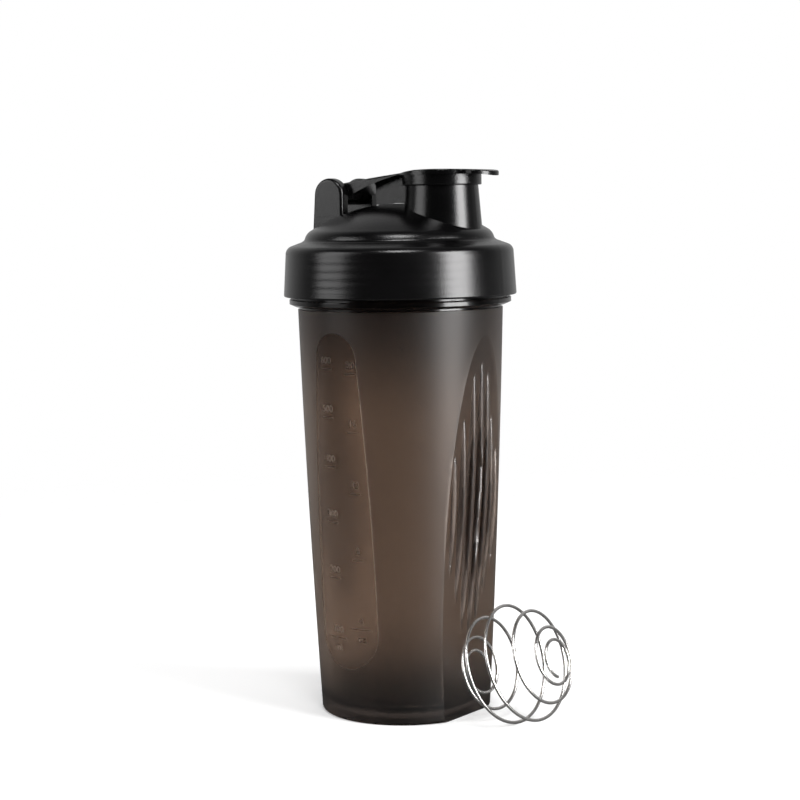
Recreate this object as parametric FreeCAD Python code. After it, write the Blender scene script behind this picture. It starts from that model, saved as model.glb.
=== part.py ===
"""A protein shaker bottle: ribbed tapered cup, screw lid with a flip cap over its spout, and a whisk ball.

Millimetres. The origin is the centre of the base on the floor, +Z is up and +X points from the
lid's hinge to its spout. Each function below makes one physical piece and returns one solid.
"""
import FreeCAD
import Part
import math
import os
from FreeCAD import Vector

# ---- cup: a slightly bellied cone on a foot ring ----
FOOT_R = 35.0               # where the side leaves the rounded foot
FOOT_ROUND = 1.6
SIDE_MID = (39.05, 84.0)    # radius and height halfway up the bellied side
SHOULDER = (41.95, 166.2)   # radius and height where the side ends under the collar
WALL = 1.7
RECESS_R = 27.5             # hollow under the base, inside the foot ring
RECESS_H = 2.2
FLOOR_T = 2.2
INNER_ROUND = 7.0           # inside corner between floor and wall

# ---- collar and threaded neck ----
UNDERCUT_R = 41.2
COLLAR_R = 45.4
COLLAR_Z = (167.3, 168.4, 170.4)   # underside, end of the lower chamfer, top
NECK_R = 42.8
NECK_BORE_R = 40.6
RIM_Z = 186.5
LEAD = 3.2                  # rise of the thread in one turn
THREAD_TURNS = 2.0
THREAD_Z = 174.4            # start of the bottle's thread
BOTTLE_CREST_R = 44.5
LID_CREST_R = 43.5
THREAD_ROOT_W = 1.5
THREAD_CREST_W = 0.6
THREAD_BITE = 0.4           # how far a thread is sunk into its wall

# ---- finger grips: two long scoops with seven raised ribs each ----
GRIP_TURN = -6.0            # degrees from +X to the middle of the first grip
SCOOP_ARC = ((30.72, -5.0), (34.32, 80.0), (42.80, 165.0))   # distance from the axis, height
RIB_W = 3.0
RIB_PITCH = 4.85
# one row for each distance from the middle rib: foot height, head height, height above the scoop
RIB_ROWS = ((30.0, 145.5, 3.6), (35.0, 141.0, 3.4), (48.0, 123.0, 2.7), (59.0, 109.0, 1.7))

# ---- graduation window: a shallow smooth recess between the grips ----
WINDOW_TURN = -100.5
WINDOW_DEPTH = 0.3
WINDOW_FOOT = (14.7, 36.5, 21.8)    # half width, its height, and the height of the round end
WINDOW_MID = (13.7, 94.0)
WINDOW_HEAD = (10.4, 147.0, 158.0)

# ---- lid: skirt, sloping shoulder and dome ----
SKIRT_FOOT = (47.6, 171.3)
SKIRT_HEAD = (46.6, 188.5)
SKIRT_BEND = (46.0, 190.5)
SKIRT_WALL_R = 45.3         # inside of the skirt at the thread
SKIRT_MOUTH_R = 45.9
SHOULDER_OUT = (44.4, 191.8)
SHOULDER_IN = (40.0, 193.4)
DOME_CREASE = ((39.1, 194.0), (38.6, 195.0))   # middle and upper end of the hollow round
DOME_BEND = (37.6, 196.8)
DOME_FOOT = (35.7, 198.3)
DOME_TOP = 208.6
DOME_T = 2.1
CEILING_Z = 188.2           # underside of the lid over the bottle's rim
PLUG_RING_R = (38.1, 39.7)  # ring that dips into the neck
PLUG_RING_Z = 183.5

# ---- spout and hinge ears on the lid ----
SPOUT_X = 20.1
SPOUT_TOP = (14.4, 219.5)
SPOUT_FOOT = (16.3, 196.0)
SPOUT_BORE_R = 12.7
EAR_Y = (9.5, 14.3)         # inner and outer faces
EAR_FRONT_X = -18.5
EAR_BACK_X = -33.6          # at the dome
EAR_HEAD_R = 6.8
EAR_ROUND = 1.3
EAR_INNER_ROUND = 0.5
EAR_FOOT_Z = 190.0          # inside the dome
EAR_MEETS = (176.0, 3.0)    # degrees on the round head where the back and front edges join it
EAR_CROWN = 100.0
PIVOT = (-25.2, 212.4)      # hinge axis, along Y
PIVOT_BORE_R = 2.40
PIVOT_BORE_DEPTH = 3.2

# ---- flip cap ----
ARM_HALF_W = 9.2
STUD_R = 2.34
STUD_L = 2.9
KNUCKLE_R = 4.1
CAP_TOP = 222.0
CAP_EDGE_DROP = 0.25        # the flat top sinks this much towards its two ends
CAP_FLAT_X = (16.0, 36.0)
ARM_TOP_MID = (-7.5, 219.1)
ARM_UNDER_MID = (-6.2, 216.9)
TAB_TOP_MID = (41.2, 221.4)
TAB_UNDER_MID = (41.8, 219.7)
TAB_TIP_Z = (220.8, 218.8)
CAP_UNDER = 219.95
DISC_R = 16.9
CAP_SKIRT_R = (15.0, 16.0)
CAP_SKIRT_Z = 215.7
TAB_HALF_W = 9.6
TAB_END_X = 44.6
GUSSET_TOP = ((-9.0, 217.2), (0.0, 219.6), (4.6, 220.3))   # web under the arm: its edge inside the arm
GUSSET_HALF_W = 3.0
GUSSET_GAP = 0.12            # from the gusset down to the dome

# ---- soft parts ----
PLUG_R = (12.2, 11.6)       # at the flange and at the tip
PLUG_FLANGE_R = 14.6
PLUG_TIP_Z = 216.0
SPOUT_GAP = 0.1             # from the spout's rim to the plug's flange
GASKET_R = (39.95, 43.2)
GASKET_Z = (186.6, 188.1)

# ---- whisk ball: one wire wound as a spiral over a sphere ----
WIRE_D = 1.3
BALL_D = 49.0               # over the wire, across the spiral's axis
BALL_SQUASH = 0.85          # length along the spiral's axis, as a share of a true sphere's
BALL_LEAN = -0.07           # how far the loops lean over, along the axis for each mm of height
BALL_X = 54.4
BALL_Y = -5.0
BALL_AXIS_TURN = -6.0       # heading of the spiral's axis, degrees from +X
BALL_AXIS_RISE = 13.3
SPIRAL_START = -3.25        # turns from the middle of the wire
SPIRAL_END = 3.45
SPIRAL_PHASE = -4.0
SPIRAL_SWING = 72.5         # degrees of latitude covered each side of the equator
SPIRAL_RATE = 26.0          # degrees: how fast the latitude slows down towards the ends
ARCS_PER_TURN = 8

UP = Vector(0, 0, 1)


def line(a, b):
    """A straight edge between two (radius, height) points."""
    return Part.LineSegment(Vector(a[0], 0, a[1]), Vector(b[0], 0, b[1])).toShape()


def arc(a, through, b):
    """An arc through three (radius, height) points."""
    points = [Vector(p[0], 0, p[1]) for p in (a, through, b)]
    return Part.Arc(*points).toShape()


def quarter(a, corner, b):
    """A round from a to b, where corner is the sharp point that it replaces."""
    centre = (a[0] + b[0] - corner[0], a[1] + b[1] - corner[1])
    bulge = math.sqrt(0.5)
    middle = [centre[i] + (corner[i] - centre[i]) * bulge for i in (0, 1)]
    return arc(a, middle, b)


def revolve(edges, x=0.0):
    """A solid of revolution about Z, moved so that its axis stands at x."""
    face = Part.Face(Part.Wire(edges))
    solid = face.revolve(Vector(0, 0, 0), UP, 360)
    solid.translate(Vector(x, 0, 0))
    return solid


def slab(edges, half_width):
    """A profile drawn in the XZ plane, extruded to both sides of it."""
    face = Part.Face(Part.Wire(edges))
    face.translate(Vector(0, -half_width, 0))
    return face.extrude(Vector(0, 2 * half_width, 0))


def turned(shape, degrees):
    """A copy turned about Z."""
    copy = shape.copy()
    copy.rotate(Vector(0, 0, 0), UP, degrees)
    return copy


def softened(solid, radius, wanted):
    """Rounds the edges that wanted(edge) picks."""
    edges = [e for e in solid.Edges if wanted(e)]
    return solid.makeFillet(radius, edges)


def one_solid(shape):
    """The single closed solid in a boolean's result, with split faces joined again."""
    joined = shape.removeSplitter()
    assert len(joined.Solids) == 1 and joined.isValid(), "a piece came out broken"
    return joined.Solids[0]


def side_radius(height, inset=0.0):
    """Radius of the bellied side at a height, less an inset."""
    foot = Vector(FOOT_R, 0, FOOT_ROUND)
    middle = Vector(SIDE_MID[0], 0, SIDE_MID[1])
    shoulder = Vector(SHOULDER[0], 0, SHOULDER[1])
    belly = Part.Arc(foot, middle, shoulder).toShape().Curve
    centre = belly.Center
    return centre.x + math.sqrt((belly.Radius - inset) ** 2 - (height - centre.z) ** 2)


def scoop(depth=0.0):
    """The space outside one grip's scooped face, moved in by depth."""
    foot, middle, head = [(d - depth, z) for d, z in SCOOP_ARC]
    far = 60.0
    edges = [arc(foot, middle, head), line(head, (far, head[1])),
             line((far, head[1]), (far, foot[1])), line((far, foot[1]), foot)]
    return slab(edges, 40.0)


def scoop_distance(height):
    """Distance of the scooped face from the axis at a height."""
    face = Part.Arc(*[Vector(d, 0, z) for d, z in SCOOP_ARC]).toShape().Curve
    centre = face.Center
    return centre.x - math.sqrt(face.Radius ** 2 - (height - centre.z) ** 2)


def rib(foot_z, head_z, height):
    """One raised rib with a rounded crest, for the middle of a grip."""
    root = 0.9
    foot = (scoop_distance(foot_z), foot_z)
    head = (scoop_distance(head_z), head_z)
    middle_z = (foot_z + head_z) / 2
    crest = (scoop_distance(middle_z) + height, middle_z)
    base_foot = (foot[0] - root, foot_z)
    base_middle = (scoop_distance(middle_z) - root, middle_z)
    base_head = (head[0] - root, head_z)
    edges = [arc(foot, crest, head), line(head, base_head),
             arc(base_head, base_middle, base_foot), line(base_foot, foot)]
    blade = slab(edges, RIB_W / 2)
    long_edge = 0.9 * (head_z - foot_z)
    return softened(blade, RIB_W / 2 - 0.1,
                    lambda e: e.Length > long_edge and e.CenterOfMass.x > crest[0] - height / 2)


def window():
    """A plate in the shape of the window, standing across +X."""
    half, foot_z, foot_end = WINDOW_FOOT
    head_half, head_z, head_end = WINDOW_HEAD

    def bend(a, through, b):
        points = [Vector(0, p[0], p[1]) for p in (a, through, b)]
        return Part.Arc(*points).toShape()

    edges = [bend((-half, foot_z), (0, foot_end), (half, foot_z)),
             bend((half, foot_z), WINDOW_MID, (head_half, head_z)),
             bend((head_half, head_z), (0, head_end), (-head_half, head_z)),
             bend((-head_half, head_z), (-WINDOW_MID[0], WINDOW_MID[1]), (-half, foot_z))]
    return Part.Face(Part.Wire(edges)).extrude(Vector(60, 0, 0))


def thread(root_r, crest_r, start_z, turns):
    """A right-hand thread ridge whose root is sunk a little into its wall."""
    height = abs(crest_r - root_r)
    out = 1 if crest_r > root_r else -1
    sunk_r = root_r - out * THREAD_BITE
    half_crest = THREAD_CREST_W / 2
    half_sunk = half_crest + (THREAD_ROOT_W / 2 - half_crest) * (height + THREAD_BITE) / height
    corners = [Vector(sunk_r, 0, -half_sunk), Vector(crest_r, 0, -half_crest),
               Vector(crest_r, 0, half_crest), Vector(sunk_r, 0, half_sunk)]
    profile = Part.makePolygon(corners + corners[:1])
    helix = Part.makeHelix(LEAD, LEAD * turns, sunk_r)
    ridge = Part.Wire(helix.Edges).makePipeShell([profile], True, True)
    ridge.translate(Vector(0, 0, start_z))
    return ridge


def bottle_body():
    """Cup, collar and threaded neck, moulded in one piece of smoky plastic."""
    foot_in = (RECESS_R, 0)
    foot_out = (FOOT_R - FOOT_ROUND, 0)
    side_foot = (FOOT_R, FOOT_ROUND)
    collar_foot, collar_edge, collar_top = COLLAR_Z
    round_r = 0.5
    lip = 0.8
    outer = revolve([
        line((0, RECESS_H), (RECESS_R - RECESS_H, RECESS_H)),
        arc((RECESS_R - RECESS_H, RECESS_H), (RECESS_R - 0.7, RECESS_H - 0.7), foot_in),
        line(foot_in, foot_out),
        quarter(foot_out, (FOOT_R, 0), side_foot),
        arc(side_foot, SIDE_MID, SHOULDER),
        line(SHOULDER, (UNDERCUT_R, SHOULDER[1] + 0.3)),
        line((UNDERCUT_R, SHOULDER[1] + 0.3), (UNDERCUT_R, collar_foot)),
        line((UNDERCUT_R, collar_foot), (COLLAR_R - 2.4, collar_foot)),
        line((COLLAR_R - 2.4, collar_foot), (COLLAR_R, collar_edge)),
        line((COLLAR_R, collar_edge), (COLLAR_R, collar_top - round_r)),
        quarter((COLLAR_R, collar_top - round_r), (COLLAR_R, collar_top), (COLLAR_R - round_r, collar_top)),
        line((COLLAR_R - round_r, collar_top), (NECK_R, collar_top)),
        line((NECK_R, collar_top), (NECK_R, RIM_Z - lip)),
        quarter((NECK_R, RIM_Z - lip), (NECK_R, RIM_Z), (NECK_R - lip, RIM_Z)),
        line((NECK_R - lip, RIM_Z), (0, RIM_Z)),
        line((0, RIM_Z), (0, RECESS_H)),
    ])
    floor_z = RECESS_H + FLOOR_T
    corner_z = floor_z + INNER_ROUND
    inner_foot = side_radius(corner_z, WALL)
    middle_z = SIDE_MID[1]
    inner = revolve([
        line((0, floor_z), (inner_foot - INNER_ROUND, floor_z)),
        quarter((inner_foot - INNER_ROUND, floor_z), (inner_foot, floor_z), (inner_foot, corner_z)),
        arc((inner_foot, corner_z), (side_radius(middle_z, WALL), middle_z),
            (side_radius(SHOULDER[1], WALL), SHOULDER[1])),
        line((side_radius(SHOULDER[1], WALL), SHOULDER[1]), (NECK_BORE_R, RIM_Z + 5)),
        line((NECK_BORE_R, RIM_Z + 5), (0, RIM_Z + 5)),
        line((0, RIM_Z + 5), (0, floor_z)),
    ])
    grips = [GRIP_TURN, GRIP_TURN + 180]
    outer = outer.cut([turned(scoop(), g) for g in grips])
    inner = inner.cut([turned(scoop(WALL), g) for g in grips])
    smooth_skin = revolve([
        arc((side_radius(10, WINDOW_DEPTH), 10), (side_radius(middle_z, WINDOW_DEPTH), middle_z),
            (side_radius(160, WINDOW_DEPTH), 160)),
        line((side_radius(160, WINDOW_DEPTH), 160), (60, 160)),
        line((60, 160), (60, 10)),
        line((60, 10), (side_radius(10, WINDOW_DEPTH), 10)),
    ])
    outer = outer.cut(turned(window(), WINDOW_TURN).common(smooth_skin))
    shell = outer.cut(inner)
    ribs = []
    for step in range(-3, 4):
        blade = rib(*RIB_ROWS[abs(step)])
        blade.translate(Vector(0, step * RIB_PITCH, 0))
        ribs += [turned(blade, g) for g in grips]
    neck_thread = thread(NECK_R, BOTTLE_CREST_R, THREAD_Z, THREAD_TURNS)
    return one_solid(shell.fuse(ribs + [neck_thread]))


def lid_gasket():
    """Flat silicone ring between the bottle's rim and the lid."""
    inner, outer = GASKET_R
    low, high = GASKET_Z
    ring = Part.makeCylinder(outer, high - low, Vector(0, 0, low))
    ring = ring.cut(Part.makeCylinder(inner, high - low, Vector(0, 0, low)))
    return one_solid(softened(ring, 0.3, lambda e: e.Closed))


def dome_sphere():
    """Centre height and radius of the dome's sphere."""
    drop = DOME_TOP - DOME_FOOT[1]
    radius = (DOME_FOOT[0] ** 2 + drop ** 2) / (2 * drop)
    return DOME_TOP - radius, radius


def dome_height(r, depth=0.0):
    """Height of the dome's skin at radius r, moved in by depth."""
    centre, radius = dome_sphere()
    return centre + math.sqrt((radius - depth) ** 2 - r ** 2)


def ear(side):
    """One hinge ear, with a blind pivot bore in its inner face."""
    px, pz = PIVOT
    foot_z = EAR_FOOT_Z
    back_meets, crown, front_meets = [
        (px + EAR_HEAD_R * math.cos(math.radians(a)), pz + EAR_HEAD_R * math.sin(math.radians(a)))
        for a in (EAR_MEETS[0], EAR_CROWN, EAR_MEETS[1])]
    edges = [line((EAR_BACK_X, foot_z), back_meets), arc(back_meets, crown, front_meets),
             line(front_meets, (EAR_FRONT_X, foot_z)), line((EAR_FRONT_X, foot_z), (EAR_BACK_X, foot_z))]
    inner, outer = EAR_Y
    width = outer - inner
    plate = Part.Face(Part.Wire(edges)).extrude(Vector(0, side * width, 0))
    plate = softened(plate, EAR_ROUND, lambda e: abs(e.CenterOfMass.y) > width - 0.01
                     and e.BoundBox.ZMax > foot_z + 1)
    plate = softened(plate, EAR_INNER_ROUND, lambda e: abs(e.CenterOfMass.y) < 0.01
                     and e.BoundBox.ZMax > foot_z + 1)
    plate.translate(Vector(0, side * inner, 0))
    bore = Part.makeCylinder(PIVOT_BORE_R, PIVOT_BORE_DEPTH + 1, Vector(px, side * (inner - 1), pz),
                             Vector(0, side, 0))
    return plate.cut(bore)


def lid():
    """Screw lid: threaded skirt, dome, pouring spout and the two hinge ears."""
    dome_r = DOME_FOOT[0]
    lower_round = 0.7
    outer = revolve([
        line((0, SKIRT_FOOT[1]), (SKIRT_FOOT[0] - lower_round, SKIRT_FOOT[1])),
        quarter((SKIRT_FOOT[0] - lower_round, SKIRT_FOOT[1]), SKIRT_FOOT,
                (SKIRT_FOOT[0], SKIRT_FOOT[1] + lower_round)),
        line((SKIRT_FOOT[0], SKIRT_FOOT[1] + lower_round), SKIRT_HEAD),
        arc(SKIRT_HEAD, SKIRT_BEND, SHOULDER_OUT),
        line(SHOULDER_OUT, SHOULDER_IN),
        arc(SHOULDER_IN, DOME_CREASE[0], DOME_CREASE[1]),
        arc(DOME_CREASE[1], DOME_BEND, DOME_FOOT),
        arc(DOME_FOOT, (dome_r / 2, dome_height(dome_r / 2)), (0, DOME_TOP)),
        line((0, DOME_TOP), (0, SKIRT_FOOT[1])),
    ])
    mouth_z = SKIRT_FOOT[1]
    corner = 1.2
    thread_z = THREAD_Z - 2.0
    ring_in, ring_out = PLUG_RING_R
    edge_in = dome_height(ring_in - 2.0, DOME_T)
    hollow = revolve([
        line((ring_out, mouth_z - 1), (SKIRT_MOUTH_R, mouth_z - 1)),
        line((SKIRT_MOUTH_R, mouth_z - 1), (SKIRT_WALL_R, thread_z)),
        line((SKIRT_WALL_R, thread_z), (SKIRT_WALL_R, CEILING_Z - corner)),
        quarter((SKIRT_WALL_R, CEILING_Z - corner), (SKIRT_WALL_R, CEILING_Z),
                (SKIRT_WALL_R - corner, CEILING_Z)),
        line((SKIRT_WALL_R - corner, CEILING_Z), (ring_out, CEILING_Z)),
        line((ring_out, CEILING_Z), (ring_out, mouth_z - 1)),
    ])
    below_ring = Part.makeCylinder(ring_out + 0.5, PLUG_RING_Z - mouth_z + 1, Vector(0, 0, mouth_z - 1))
    under_dome = revolve([
        line((0, mouth_z), (ring_in, mouth_z)),
        line((ring_in, mouth_z), (ring_in, edge_in - 4.0)),
        arc((ring_in, edge_in - 4.0), (ring_in - 0.5, edge_in - 1.6), (ring_in - 2.0, edge_in)),
        arc((ring_in - 2.0, edge_in), (ring_in / 2, dome_height(ring_in / 2, DOME_T)),
            (0, DOME_TOP - DOME_T)),
        line((0, DOME_TOP - DOME_T), (0, mouth_z)),
    ])
    top_r, top_z = SPOUT_TOP
    foot_r, foot_z = SPOUT_FOOT
    rim = 0.6
    spout = revolve([
        line((0, foot_z), (foot_r, foot_z)),
        line((foot_r, foot_z), (top_r, top_z - rim)),
        quarter((top_r, top_z - rim), (top_r, top_z), (top_r - rim, top_z)),
        line((top_r - rim, top_z), (0, top_z)),
        line((0, top_z), (0, foot_z)),
    ], SPOUT_X)
    bore = revolve([
        line((0, 185), (SPOUT_BORE_R, 185)),
        line((SPOUT_BORE_R, 185), (SPOUT_BORE_R, top_z - 0.4)),
        quarter((SPOUT_BORE_R, top_z - 0.4), (SPOUT_BORE_R, top_z), (SPOUT_BORE_R + 0.4, top_z)),
        line((SPOUT_BORE_R + 0.4, top_z), (SPOUT_BORE_R + 0.4, top_z + 2)),
        line((SPOUT_BORE_R + 0.4, top_z + 2), (0, top_z + 2)),
        line((0, top_z + 2), (0, 185)),
    ], SPOUT_X)
    solid = outer.fuse([spout, ear(1), ear(-1)])
    solid = solid.cut([hollow, below_ring, under_dome, bore])
    lid_thread = thread(SKIRT_WALL_R, LID_CREST_R, THREAD_Z + LEAD / 2, THREAD_TURNS)
    return one_solid(solid.fuse(lid_thread))


def flip_cap():
    """Flip cap: knuckle with two studs, curved arm, disc with a short skirt, and thumb tab."""
    px, pz = PIVOT
    crotch = math.radians(-30)
    meets = (px + KNUCKLE_R * math.cos(crotch), pz + KNUCKLE_R * math.sin(crotch))
    flat_from, flat_to = CAP_FLAT_X
    arm_from = SPOUT_X - CAP_SKIRT_R[1]
    crown = CAP_TOP - CAP_EDGE_DROP
    tip_top, tip_under = TAB_TIP_Z
    side = slab([
        arc(meets, (px - KNUCKLE_R, pz), (px, pz + KNUCKLE_R)),
        arc((px, pz + KNUCKLE_R), ARM_TOP_MID, (flat_from, crown)),
        arc((flat_from, crown), ((flat_from + flat_to) / 2, CAP_TOP), (flat_to, crown)),
        arc((flat_to, crown), TAB_TOP_MID, (TAB_END_X + 1, tip_top)),
        line((TAB_END_X + 1, tip_top), (TAB_END_X + 1, tip_under)),
        arc((TAB_END_X + 1, tip_under), TAB_UNDER_MID, (flat_to, CAP_UNDER)),
        line((flat_to, CAP_UNDER), (arm_from, CAP_UNDER)),
        arc((arm_from, CAP_UNDER), ARM_UNDER_MID, meets),
    ], DISC_R + 2)
    low, tall = pz - KNUCKLE_R - 1, 20.0
    arm = Part.makeBox(45, 2 * ARM_HALF_W, tall, Vector(px - KNUCKLE_R - 1, -ARM_HALF_W, low))
    disc = Part.makeCylinder(DISC_R, tall, Vector(SPOUT_X, 0, low))
    tab_r = TAB_HALF_W + 1.0
    tab = Part.makeCylinder(tab_r, tall, Vector(TAB_END_X - tab_r, 0, low))
    tab = tab.common(Part.makeBox(40, 2 * TAB_HALF_W, tall, Vector(20, -TAB_HALF_W, low)))
    bridge = Part.makeBox(TAB_END_X - tab_r - 20, 2 * TAB_HALF_W, tall, Vector(20, -TAB_HALF_W, low))
    outline = arm.fuse([disc, tab, bridge]).removeSplitter()
    outline = softened(outline, 5.0, lambda e: e.BoundBox.ZLength > tall - 1 and e.BoundBox.XLength < 0.1
                       and abs(abs(e.CenterOfMass.y) - ARM_HALF_W) < 0.5 and -20 < e.CenterOfMass.x < 38)
    plate = outline.common(side)
    plate = softened(plate, 0.6, lambda e: e.BoundBox.ZMin > CAP_UNDER + 1.0)
    inner, outer = CAP_SKIRT_R
    skirt = revolve([
        line((inner, CAP_UNDER + 0.5), (inner, CAP_SKIRT_Z + 0.4)),
        quarter((inner, CAP_SKIRT_Z + 0.4), (inner, CAP_SKIRT_Z), (inner + 0.4, CAP_SKIRT_Z)),
        line((inner + 0.4, CAP_SKIRT_Z), (outer - 0.4, CAP_SKIRT_Z)),
        quarter((outer - 0.4, CAP_SKIRT_Z), (outer, CAP_SKIRT_Z), (outer, CAP_SKIRT_Z + 0.4)),
        line((outer, CAP_SKIRT_Z + 0.4), (outer, CAP_UNDER + 0.5)),
        line((outer, CAP_UNDER + 0.5), (inner, CAP_UNDER + 0.5)),
    ], SPOUT_X)
    front_x, rear_x = GUSSET_TOP[-1][0], GUSSET_TOP[0][0]
    front, middle, rear = [(x, dome_height(x, -GUSSET_GAP)) for x in (front_x, (front_x + rear_x) / 2, rear_x)]
    corners = [rear] + list(GUSSET_TOP) + [front]
    gusset = slab([line(a, b) for a, b in zip(corners, corners[1:])] + [arc(front, middle, rear)],
                  GUSSET_HALF_W)
    gusset = gusset.cut(Part.makeCylinder(CAP_SKIRT_R[0] + 0.4, tall, Vector(SPOUT_X, 0, low)))
    studs = []
    for way in (1, -1):
        root = Vector(px, way * (ARM_HALF_W - 1), pz)
        stud = Part.makeCylinder(STUD_R, STUD_L + 1, root, Vector(0, way, 0))
        studs.append(softened(stud, 0.4, lambda e: e.Closed and abs(e.CenterOfMass.y) > ARM_HALF_W + 1))
    return one_solid(plate.fuse([skirt, gusset] + studs))


def spout_plug():
    """Soft stopper under the cap: a flange over the spout's rim and a tapered plug inside it."""
    rim_z = SPOUT_TOP[1] + SPOUT_GAP
    wide, narrow = PLUG_R
    tip = 0.5
    plug = revolve([
        line((0, PLUG_TIP_Z + 1.2), (narrow - 1.6, PLUG_TIP_Z + 1.2)),
        line((narrow - 1.6, PLUG_TIP_Z + 1.2), (narrow - 1.6, PLUG_TIP_Z)),
        line((narrow - 1.6, PLUG_TIP_Z), (narrow - tip, PLUG_TIP_Z)),
        quarter((narrow - tip, PLUG_TIP_Z), (narrow, PLUG_TIP_Z), (narrow, PLUG_TIP_Z + tip)),
        line((narrow, PLUG_TIP_Z + tip), (wide, rim_z)),
        line((wide, rim_z), (PLUG_FLANGE_R, rim_z)),
        line((PLUG_FLANGE_R, rim_z), (PLUG_FLANGE_R, CAP_UNDER)),
        line((PLUG_FLANGE_R, CAP_UNDER), (0, CAP_UNDER)),
        line((0, CAP_UNDER), (0, PLUG_TIP_Z + 1.2)),
    ], SPOUT_X)
    return one_solid(plug)


def spiral_point(turn):
    """A point of the whisk ball's wire, before the ball is turned; its axis is +X."""
    wire_r = (BALL_D - WIRE_D) / 2
    latitude = math.radians(SPIRAL_SWING * math.sin(math.radians(SPIRAL_RATE * turn)))
    angle = 2 * math.pi * turn + math.radians(SPIRAL_PHASE)
    ring = wire_r * math.cos(latitude)
    height = ring * math.cos(angle)
    along = BALL_SQUASH * wire_r * math.sin(latitude) + BALL_LEAN * height
    return Vector(along, -ring * math.sin(angle), height)


def spiral_heading(turn):
    """Unit tangent of the wire."""
    step = 0.001
    heading = spiral_point(turn + step) - spiral_point(turn - step)
    return heading.normalize()


def arc_from(start, heading, end):
    """Middle point of the arc that leaves start along heading and reaches end."""
    chord = end - start
    across = chord.cross(heading).cross(chord).normalize()
    half_turn = heading.getAngle(chord)
    return start + chord * 0.5 + across * (chord.Length / 2 * math.tan(half_turn / 2))


def whisk_ball():
    """Stainless wire wound over a sphere, as a chain of tangent arcs."""
    count = round(ARCS_PER_TURN * (SPIRAL_END - SPIRAL_START))
    turns = [SPIRAL_START + (SPIRAL_END - SPIRAL_START) * i / count for i in range(count + 1)]
    path = []
    for here, there in zip(turns, turns[1:]):
        a, b = spiral_point(here), spiral_point(there)
        leave, arrive = spiral_heading(here), spiral_heading(there)
        total = leave + arrive
        chord = b - a
        spare = 4 - total.dot(total)
        along = chord.dot(total)
        reach = (-along + math.sqrt(along ** 2 + spare * chord.dot(chord))) / spare
        joint = ((a + leave * reach) + (b - arrive * reach)) * 0.5
        path.append(Part.Arc(a, arc_from(a, leave, joint), joint).toShape())
        path.append(Part.Arc(joint, arc_from(b, arrive * -1, joint), b).toShape())
    start = spiral_point(SPIRAL_START)
    section = Part.Wire(Part.Circle(start, spiral_heading(SPIRAL_START), WIRE_D / 2).toShape())
    wire = Part.Wire(path).makePipeShell([section], True, False)
    length = sum(edge.Length for edge in path)
    print("wire: length", round(length, 1), "volume ratio",
          round(wire.Volume / (length * math.pi * WIRE_D ** 2 / 4), 4))
    wire.rotate(Vector(0, 0, 0), Vector(0, 1, 0), -BALL_AXIS_RISE)
    wire.rotate(Vector(0, 0, 0), UP, BALL_AXIS_TURN)
    wire.translate(Vector(BALL_X, BALL_Y, 0))
    wire.translate(Vector(0, 0, -wire.optimalBoundingBox(False).ZMin))
    return one_solid(wire)


PIECES = [bottle_body, lid_gasket, lid, flip_cap, spout_plug, whisk_ball]

os.makedirs("parts", exist_ok=True)
for make in PIECES:
    piece = make()
    piece.exportStep(f"parts/{make.__name__}.step")
    box = piece.optimalBoundingBox(False)
    print(make.__name__, "volume", round(piece.Volume), "box",
          [round(v, 2) for v in (box.XMin, box.YMin, box.ZMin, box.XMax, box.YMax, box.ZMax)])
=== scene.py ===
import bmesh
import bpy
import math
from mathutils import Matrix, Vector


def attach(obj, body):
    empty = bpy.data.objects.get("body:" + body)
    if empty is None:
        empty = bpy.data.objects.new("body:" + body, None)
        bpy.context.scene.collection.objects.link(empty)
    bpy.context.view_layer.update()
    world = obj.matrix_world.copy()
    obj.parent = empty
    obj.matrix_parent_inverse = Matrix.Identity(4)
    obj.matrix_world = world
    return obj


# A protein shaker bottle: a ribbed smoky cup, a black screw lid with a flip cap, and a wire whisk
# ball that lies beside it. Metres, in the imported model's frame: the origin is the centre of the
# base on the floor, +Z is up and +X points from the lid's hinge to its spout.
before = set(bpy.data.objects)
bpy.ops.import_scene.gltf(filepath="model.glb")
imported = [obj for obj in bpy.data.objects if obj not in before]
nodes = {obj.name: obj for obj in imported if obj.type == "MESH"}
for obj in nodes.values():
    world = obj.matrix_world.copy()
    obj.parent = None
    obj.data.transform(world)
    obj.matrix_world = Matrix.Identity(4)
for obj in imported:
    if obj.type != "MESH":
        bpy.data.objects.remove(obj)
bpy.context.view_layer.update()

# ---- Studio ----
# A pale floor that fades into a white surround, a tall softbox to the right, a weaker one to the
# left and a small one high in front. The surround is white to the camera and through the cup, a
# little weaker as light on dull surfaces, and dim in reflections, so that the black lid stays black.
FLOOR_R = 0.8
FLOOR_CORNERS = 64
FLOOR_FADE = (0.28, 0.75)
FLOOR_WHITE = (0.93, 0.93, 0.93, 1)
FLOOR_ROUGH = 0.9
FLOOR_IN_GLOSS = (0.07, 0.07, 0.07, 1)      # its colour where the lid mirrors it
ROOM_WHITE = 1.0
ROOM_GLOW = 0.80            # the room's light on dull surfaces
FRONT_GLOSS = 0.012         # what the black lid mirrors of the dark room in front
REAR_GLOSS = 0.50           # and of the white wall behind
REAR_WAY = (-0.5, 0.866, 0)                 # the way to that wall
REAR_FADE = (-0.1, 0.9)                     # cosines of the angles from that way where it fades
AIM = Vector((0, 0, 0.15))                  # what the softboxes point at
# name: heading from +X and height in degrees, distance, width, height, watts
SOFTBOXES = {
    "key_softbox": (-2, 13, 1.25, 0.62, 0.95, 26),
    "fill_softbox": (-132, 20, 1.25, 0.70, 0.95, 5.5),
    "top_softbox": (-60, 56, 1.20, 0.42, 0.30, 5),
}


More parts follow.
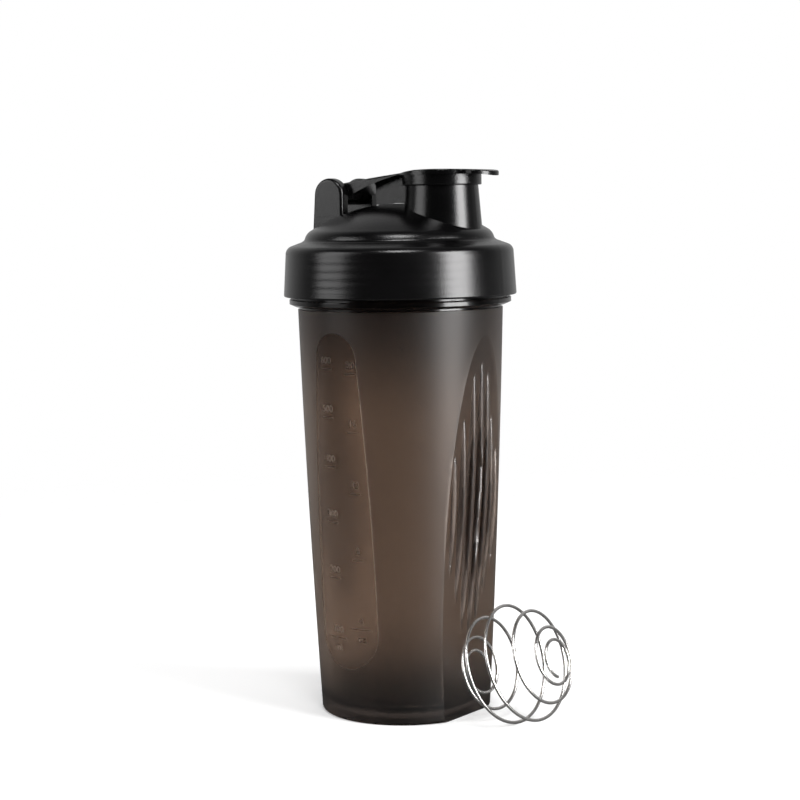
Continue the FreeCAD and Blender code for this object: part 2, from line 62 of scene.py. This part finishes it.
class Wire:
    """A shader node's output; sums, products and powers of wires add their own Math nodes."""

    def __init__(self, tree, output=None):
        self.tree = tree
        self.output = output

    def node(self, kind, settings=(), values=(), out=0):
        """Adds a node: its settings first, then the values or links of its sockets."""
        new = self.tree.nodes.new(kind)
        for name, value in dict(settings).items():
            setattr(new, name, value)
        for name, value in dict(values).items():
            if isinstance(value, Wire):
                self.tree.links.new(value.output, new.inputs[name])
            else:
                new.inputs[name].default_value = value
        return Wire(self.tree, new.outputs[out])

    def math(self, operation, first, second=0.0):
        return self.node("ShaderNodeMath", {"operation": operation}, {0: first, 1: second})

    def __add__(self, other):
        return self.math("ADD", self, other)

    def __sub__(self, other):
        return self.math("SUBTRACT", self, other)

    def __rsub__(self, other):
        return self.math("SUBTRACT", other, self)

    def __mul__(self, other):
        return self.math("MULTIPLY", self, other)

    def __pow__(self, other):
        return self.math("POWER", self, other)

    __radd__ = __add__
    __rmul__ = __mul__

    def step(self, low, high, start=0.0, end=1.0):
        """A smooth change from start to end as this value goes from low to high."""
        smooth = {"interpolation_type": "SMOOTHSTEP"}
        ends = {"From Min": low, "From Max": high, "To Min": start, "To Max": end}
        return self.node("ShaderNodeMapRange", smooth, {"Value": self, **ends})

    def parts(self):
        """The three numbers of a vector."""
        return [self.node("ShaderNodeSeparateXYZ", values={0: self}, out=i) for i in range(3)]

    def noise(self, scale, detail=2.0, stretch=(1, 1, 1)):
        """Noise of about 1/scale metres across, drawn out along an axis by a small stretch."""
        turned = self.node("ShaderNodeMapping", values={"Vector": self, "Scale": stretch})
        return self.node("ShaderNodeTexNoise", (), {"Vector": turned, "Scale": scale, "Detail": detail})

    def blend(self, first, second):
        """From one colour to another as this value goes from 0 to 1."""
        return self.node("ShaderNodeMix", {"data_type": "RGBA"}, {0: self, 6: first, 7: second}, out=2)

    def bump(self, distance, strength=1.0):
        """Normals of a surface raised by this value times a distance."""
        heights = {"Height": self, "Distance": distance, "Strength": strength}
        return self.node("ShaderNodeBump", (), heights)

    def feed(self, shader, socket):
        self.tree.links.new(self.output, shader.inputs[socket])


def finish_named(name, **constants):
    """A new material: itself, its Principled shader with its constants set, and Object coordinates."""
    material = bpy.data.materials.new(name)
    material.use_nodes = True
    shader = material.node_tree.nodes["Principled BSDF"]
    for socket, value in constants.items():
        shader.inputs[socket.replace("_", " ")].default_value = value
    place = Wire(material.node_tree).node("ShaderNodeTexCoord", out="Object")
    return material, shader, place


def piece_from(mesh, name, material):
    """An object at the origin, holding a bmesh whose faces point outwards."""
    bmesh.ops.recalc_face_normals(mesh, faces=mesh.faces)
    data = bpy.data.meshes.new(name)
    mesh.to_mesh(data)
    mesh.free()
    data.materials.append(material)
    piece = bpy.data.objects.new(name, data)
    bpy.context.scene.collection.objects.link(piece)
    return piece


floor_finish, floor_shader, floor_place = finish_named("studio_floor", Roughness=FLOOR_ROUGH)
floor_x, floor_y = floor_place.parts()[:2]
floor_out = (floor_x * floor_x + floor_y * floor_y) ** 0.5
floor_out.step(*FLOOR_FADE, 1, 0).feed(floor_shader, "Alpha")
in_mirror = floor_place.node("ShaderNodeLightPath", out="Is Glossy Ray")
in_mirror *= 1 - floor_place.node("ShaderNodeLightPath", out="Is Transmission Ray")
in_mirror.blend(FLOOR_WHITE, FLOOR_IN_GLOSS).feed(floor_shader, "Base Color")
floor_mesh = bmesh.new()
bmesh.ops.create_circle(floor_mesh, cap_ends=True, segments=FLOOR_CORNERS, radius=FLOOR_R)
piece_from(floor_mesh, "floor", floor_finish)

world = bpy.data.worlds.new("white_room")
world.use_nodes = True
world.cycles.sampling_method = "NONE"
bpy.context.scene.world = world
room = Wire(world.node_tree)
heading = room.node("ShaderNodeTexCoord", out="Generated")
towards = {"operation": "DOT_PRODUCT"}
behind = room.node("ShaderNodeVectorMath", towards, {0: heading, 1: REAR_WAY}, out=1)
mirrored = room.node("ShaderNodeLightPath", out="Is Glossy Ray")
through = room.node("ShaderNodeLightPath", out="Is Transmission Ray")
in_gloss = behind.step(*REAR_FADE, FRONT_GLOSS, REAR_GLOSS)
dull = room.node("ShaderNodeLightPath", out="Is Diffuse Ray") * (1 - through)
mirrored *= 1 - through
strength = mirrored * in_gloss + dull * ROOM_GLOW + (1 - mirrored) * (1 - dull) * ROOM_WHITE
strength.feed(world.node_tree.nodes["Background"], "Strength")
world.node_tree.nodes["Background"].inputs["Color"].default_value = (1, 1, 1, 1)

for name, (turn, rise, distance, width, height, watts) in SOFTBOXES.items():
    lamp = bpy.data.lights.new(name, "AREA")
    lamp.shape = "RECTANGLE"
    lamp.size = width
    lamp.size_y = height
    lamp.energy = watts
    softbox = bpy.data.objects.new(name, lamp)
    turn, rise = math.radians(turn), math.radians(rise)
    way = Vector((math.cos(turn) * math.cos(rise), math.sin(turn) * math.cos(rise), math.sin(rise)))
    softbox.location = AIM + way * distance
    softbox.rotation_euler = way.to_track_quat("Z", "Y").to_euler()
    bpy.context.scene.collection.objects.link(softbox)

CAMERA_PLACE = Vector((0.406, -0.7032, 0.2096))
CAMERA_TURNS = (30.055, 84.26, -0.88)       # heading, tilt up from straight down, roll, in degrees
CAMERA_LENS = 89.11
camera = bpy.data.objects.new("camera", bpy.data.cameras.new("camera"))
camera.data.lens = CAMERA_LENS
camera.data.sensor_width = 36
yaw, tilt, roll = [math.radians(a) for a in CAMERA_TURNS]
facing = Matrix.Rotation(yaw, 4, "Z") @ Matrix.Rotation(tilt, 4, "X") @ Matrix.Rotation(roll, 4, "Z")
camera.matrix_world = Matrix.Translation(CAMERA_PLACE) @ facing
bpy.context.scene.collection.objects.link(camera)
bpy.context.scene.camera = camera
bpy.context.scene.view_settings.view_transform = "Standard"

# ---- Cup ----
# One moulding of smoky translucent plastic: the tapered cup, its foot ring, two ribbed finger
# grips, the collar and the threaded neck. It is frosted outside, clearer in the graduation window
# and inside, and glossy over the ribs. Its colour carries painted shade: darker towards its thick
# foot, under the collar and along the flanks of the ribs.
SIDE_FOOT = Vector((0.0350, 0.0016))        # radius and height of three points of the bellied side
SIDE_MIDDLE = Vector((0.03905, 0.0840))
SIDE_HEAD = Vector((0.04195, 0.1662))
SMOKE = (0.276, 0.213, 0.171, 1)
CLEAR_SMOKE = (0.480, 0.375, 0.305, 1)      # the thin, polished window
# the colour of the painted shade towards the foot, under the collar and on the rib flanks
PAINTED_SHADE_SMOKE = (0.060, 0.046, 0.042, 1)
NEAR_BLACK = (0.012, 0.010, 0.010, 1)       # the collar, too thick to glow
INDEX = 1.49
FROST_ROUGH = 0.44
POLISH_ROUGH = 0.17
GRIP_ROUGH = 0.34
COLLAR_ROUGH = 0.16
RIB_GLOSS = 0.3
RIB_GLOSS_ROUGH = 0.10
ROUGH_DRIFT = 0.06          # the frosting is uneven by this much, in patches of 1/PATCHES metres
PATCHES = 55
PATCH_STRETCH = (1, 1, 0.35)
FROST_GRAIN = 2600
FROST_TALL = 0.00004
FROST_STRENGTH = 0.5
WINDOW_TURN = math.radians(-100.5)
WINDOW_SIDE = (0.020, 0.025)                # the window's side of the cup, from the axis out
WINDOW_SKIN = (0.0005, 0.0008)              # between the window's depth and the wall's thickness
WINDOW_ENDS = (0.157, 0.160)
POLISH_DEPTH = (0.00012, 0.00022)           # the skin is polished where it lies this far in
GRIP_TURN = math.radians(-6.0)
GRIP_POINTS = (Vector((0.03072, -0.005)), Vector((0.03432, 0.080)), Vector((0.0428, 0.165)))
RIB_PITCH = 0.00485
RIB_FLANK = (0.0005, 0.0012)                # painted shade makes a rib darkest on its flanks, this far from its middle
RIB_STANDS = (0.00005, 0.0003)
RIB_PAINTED_SHADE = (0.30, 0.85)     # painted shade at a rib's middle and on its flanks
ON_GRIP = (-0.0008, -0.0004)                # heights over the scooped face
# painted shade: heights over which the tint darkens towards the foot and towards the collar, and how
# far
FOOT_SHADE = (0.002, 0.030)
HEAD_SHADE = (0.116, 0.168)
FOOT_PAINTED_SHADE, HEAD_PAINTED_SHADE = 0.90, 0.85
COLLAR_EDGE = 0.0004


def circle_through(a, b, c):
    """Centre and radius of the circle through three points of a plane."""
    ab, ac = b - a, c - a
    twice = 2 * (ab.x * ac.y - ab.y * ac.x)
    across = (ab.dot(ab) * ac.y - ac.dot(ac) * ab.y) / twice
    up = (ac.dot(ac) * ab.x - ab.dot(ab) * ac.x) / twice
    return a + Vector((across, up)), math.hypot(across, up)


belly_centre, belly_r = circle_through(SIDE_FOOT, SIDE_MIDDLE, SIDE_HEAD)
smoky, smoky_shader, place = finish_named(
    "smoky_plastic", Transmission_Weight=1.0, IOR=INDEX, Coat_Roughness=RIB_GLOSS_ROUGH)
x, y, z = place.parts()
side = (belly_r ** 2 - (z - belly_centre.y) * (z - belly_centre.y)) ** 0.5 + belly_centre.x
depth = side - (x * x + y * y) ** 0.5
polished = depth.step(*POLISH_DEPTH)
towards_window = x * math.cos(WINDOW_TURN) + y * math.sin(WINDOW_TURN)
in_window = polished * depth.step(*WINDOW_SKIN, 1, 0) * z.step(*WINDOW_ENDS, 1, 0)
in_window *= towards_window.step(*WINDOW_SIDE)
at_collar = z.step(SIDE_HEAD.y - COLLAR_EDGE, SIDE_HEAD.y + COLLAR_EDGE)
# Painted shade, darker towards the foot and under the collar.
shaded = z.step(*FOOT_SHADE, FOOT_PAINTED_SHADE, 0) + z.step(*HEAD_SHADE, 0, HEAD_PAINTED_SHADE)
scoop_centre, scoop_r = circle_through(*GRIP_POINTS)
from_axis = x * math.cos(GRIP_TURN) + y * math.sin(GRIP_TURN)
from_axis = from_axis.math("ABSOLUTE", from_axis)
scoop_rise = z - scoop_centre.y
rib_height = from_axis - scoop_centre.x + (scoop_r ** 2 - scoop_rise * scoop_rise) ** 0.5
on_grip = rib_height.step(*ON_GRIP) * polished
polish = POLISH_ROUGH + on_grip * (GRIP_ROUGH - POLISH_ROUGH)
frost = FROST_ROUGH + (polish - FROST_ROUGH) * polished
across = y * math.cos(GRIP_TURN) - x * math.sin(GRIP_TURN)
off_rib = across.math("PINGPONG", across, RIB_PITCH / 2)
# Painted shade along the flanks of the ribs.
shaded += on_grip * rib_height.step(*RIB_STANDS) * off_rib.step(*RIB_FLANK, *RIB_PAINTED_SHADE)
drift = place.noise(PATCHES, 3, PATCH_STRETCH)
roughness = frost + (COLLAR_ROUGH - frost) * at_collar + (drift - 0.5) * ROUGH_DRIFT
roughness.feed(smoky_shader, "Roughness")
(on_grip * RIB_GLOSS).feed(smoky_shader, "Coat Weight")
# Smoke, lighter in the window, darkened by the painted shade; the collar is near black.
tint = shaded.math("MINIMUM", shaded, 1.0).blend(in_window.blend(SMOKE, CLEAR_SMOKE), PAINTED_SHADE_SMOKE)
at_collar.blend(tint, NEAR_BLACK).feed(smoky_shader, "Base Color")
grain = place.noise(FROST_GRAIN, 2) * (1 - polished) * (1 - at_collar)
grain.bump(FROST_TALL, FROST_STRENGTH).feed(smoky_shader, "Normal")
nodes["bottle_body"].material_slots[0].material = smoky

# ---- Graduations ----
# Raised scales on the window, moulded with the cup: millilitres on the left, ounces on the right.
# Each figure and line is drawn flat, given a thickness, and then wrapped on the cup's side.
WINDOW_DEPTH = 0.0003
RAISED = 0.00027
FIGURE_TALL = 0.0030
FIGURE_LIFT = 0.0022        # from a line up to the foot of its figure
UNIT_DROP = 0.0052
TEXT_SCALE = 1.35            # the font's size for a figure one unit tall
CURVE_STEPS = 3
LINE_THICK = 0.00035
LINE_STEPS = 10
SMALLEST_GAP = 1e-6
OUNCE = 29.57
# millilitres and the height of their line; the ounce lines are read off the same scale
MILLILITRES = {600: 0.1436, 500: 0.1242, 400: 0.1042, 300: 0.0819, 200: 0.0590, 100: 0.0344}
OUNCES = (20, 16, 12, 8, 4)
ML_PLACE, OZ_PLACE = -0.0046, 0.0078        # middles of the two columns, round the cup
ML_LINE, OZ_LINE = 0.0064, 0.0050
LOWEST_LINE = 0.0095


def level(volume):
    """Height of a volume's line, in proportion between its two neighbours."""
    below = min(int(volume // 100) * 100, 500)
    low, high = MILLILITRES[below], MILLILITRES[below + 100]
    return low + (high - low) * (volume - below) / 100


def side_radius(height):
    return belly_centre.x + math.sqrt(belly_r ** 2 - (height - belly_centre.y) ** 2)


def wrapped(mesh, across, up):
    """Lays a flat drawing on the window: x goes round the cup, y up it and z out of it."""
    for v in mesh.verts:
        height = up + v.co.y
        out = side_radius(height) - WINDOW_DEPTH + v.co.z
        turn = WINDOW_TURN + (across + v.co.x) / side_radius(height)
        v.co = Vector((out * math.cos(turn), out * math.sin(turn), height))


def figure(text, across, up):
    """A number or unit in plain raised letters, centred on a point."""
    letters = bpy.data.curves.new("letters", "FONT")
    letters.body = text
    letters.size = FIGURE_TALL * TEXT_SCALE
    letters.align_x = "CENTER"
    letters.extrude = RAISED / 2
    letters.resolution_u = CURVE_STEPS
    flat = bpy.data.objects.new("letters", letters)
    solid = bpy.data.meshes.new_from_object(flat)
    mesh = bmesh.new()
    mesh.from_mesh(solid)
    bpy.data.objects.remove(flat)
    bpy.data.meshes.remove(solid)
    bmesh.ops.remove_doubles(mesh, verts=mesh.verts, dist=SMALLEST_GAP)
    bmesh.ops.translate(mesh, verts=mesh.verts, vec=(0, 0, RAISED / 2))
    wrapped(mesh, across, up)
    return mesh


def bar(across, up, long):
    """One graduation line, cut into short lengths so that it can bend."""
    mesh = bmesh.new()
    bmesh.ops.create_grid(mesh, x_segments=LINE_STEPS, y_segments=1, size=0.5)
    bmesh.ops.scale(mesh, verts=mesh.verts, vec=(long, LINE_THICK, 1))
    raised = bmesh.ops.extrude_face_region(mesh, geom=mesh.faces[:])
    tops = [v for v in raised["geom"] if isinstance(v, bmesh.types.BMVert)]
    bmesh.ops.translate(mesh, verts=tops, vec=(0, 0, RAISED))
    wrapped(mesh, across, up)
    return mesh


def scale_piece(unit, marks, across, long):
    """One column of the scale: its lines, the figure over each line, and the unit under the last."""
    drawn = []
    for text, height in marks:
        is_lowest = height == marks[-1][1]
        drawn.append(bar(across, height, LOWEST_LINE if is_lowest else long))
        drawn.append(figure(text, across, height + FIGURE_LIFT))
    drawn.append(figure(unit, across, marks[-1][1] - UNIT_DROP))
    column = bmesh.new()
    for mesh in drawn:
        data = bpy.data.meshes.new("part")
        mesh.to_mesh(data)
        mesh.free()
        column.from_mesh(data)
        bpy.data.meshes.remove(data)
    piece = piece_from(column, "scale_" + unit, smoky)
    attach(piece, "bottle")


scale_piece("ml", [(str(volume), height) for volume, height in MILLILITRES.items()], ML_PLACE, ML_LINE)
scale_piece("oz", [(str(ounces), level(ounces * OUNCE)) for ounces in OUNCES], OZ_PLACE, OZ_LINE)

# ---- Lid and flip cap ----
# Two mouldings of black polypropylene. The mould's spark-eroded grain leaves them satin, and the
# thread behind the skirt shows as faint level rings where the thicker plastic sank as it cooled.
BLACK = (0.0008, 0.0008, 0.0009, 1)
WORN_BLACK = (0.0018, 0.0017, 0.0019, 1)
SATIN = 0.22
GRAIN = 1900
GRAIN_TALL = 0.00005
SINK_TALL = 0.000026
THREAD_LEAD = 0.0032
SINK_FOOT, SINK_HEAD = 0.1735, 0.1875
SINK_EDGE = 0.001
WEAR_PATCHES = 38
WEAR_RANGE = (0.35, 0.75)
SATIN_DRIFT = 0.10
GRAIN_SPARKLE = 0.06
lid_black, lid_shader, place = finish_named("black_satin_plastic", IOR=1.5)
x, y, z = place.parts()
ring = z.math("SINE", z * (2 * math.pi / THREAD_LEAD))
on_skirt = z.step(SINK_FOOT, SINK_FOOT + SINK_EDGE) * z.step(SINK_HEAD - SINK_EDGE, SINK_HEAD, 1, 0)
grain = place.noise(GRAIN, 3)
cloud = place.noise(WEAR_PATCHES, 3)
cloud.step(*WEAR_RANGE).blend(BLACK, WORN_BLACK).feed(lid_shader, "Base Color")
(SATIN + (cloud - 0.5) * SATIN_DRIFT + (grain - 0.5) * GRAIN_SPARKLE).feed(lid_shader, "Roughness")
relief = grain * GRAIN_TALL + ring * on_skirt * SINK_TALL
relief.bump(1.0).feed(lid_shader, "Normal")
for name in ("lid", "flip_cap"):
    nodes[name].material_slots[0].material = lid_black

# ---- Seals ----
# The gasket under the lid and the stopper under the cap are dark grey silicone with a matt skin.
SILICONE = (0.030, 0.030, 0.032, 1)
SILICONE_DUST = (0.046, 0.046, 0.048, 1)
DUST_PATCHES = 220
DUST_RANGE = (0.3, 0.7)
MATT = 0.55
MATT_DRIFT = 0.2
SKIN_GRAIN = 2200
SKIN_TALL = 0.00003
silicone, silicone_shader, place = finish_named("matt_silicone", IOR=1.42)
cloud = place.noise(DUST_PATCHES, 4)
cloud.step(*DUST_RANGE).blend(SILICONE, SILICONE_DUST).feed(silicone_shader, "Base Color")
(MATT + (cloud - 0.5) * MATT_DRIFT).feed(silicone_shader, "Roughness")
place.noise(SKIN_GRAIN, 2).bump(SKIN_TALL, 0.5).feed(silicone_shader, "Normal")
for name in ("lid_gasket", "spout_plug"):
    nodes[name].material_slots[0].material = silicone

# ---- Whisk ball ----
# One length of bright stainless wire, wound as a spiral over a sphere and electropolished.
STEEL = (0.86, 0.84, 0.82, 1)
STEEL_SHADE = (0.66, 0.645, 0.63, 1)
DRAW_MARKS = 900
DRAW_RANGE = (0.35, 0.7)
DRAW_TALL = 0.000015
STEEL_ROUGH = 0.24
STEEL_DRIFT = 0.12
steel, steel_shader, place = finish_named("polished_steel_wire", Metallic=1.0)
drawn_marks = place.noise(DRAW_MARKS, 3)
drawn_marks.step(*DRAW_RANGE).blend(STEEL, STEEL_SHADE).feed(steel_shader, "Base Color")
(STEEL_ROUGH + (drawn_marks - 0.5) * STEEL_DRIFT).feed(steel_shader, "Roughness")
drawn_marks.bump(DRAW_TALL, 0.4).feed(steel_shader, "Normal")
nodes["whisk_ball"].material_slots[0].material = steel
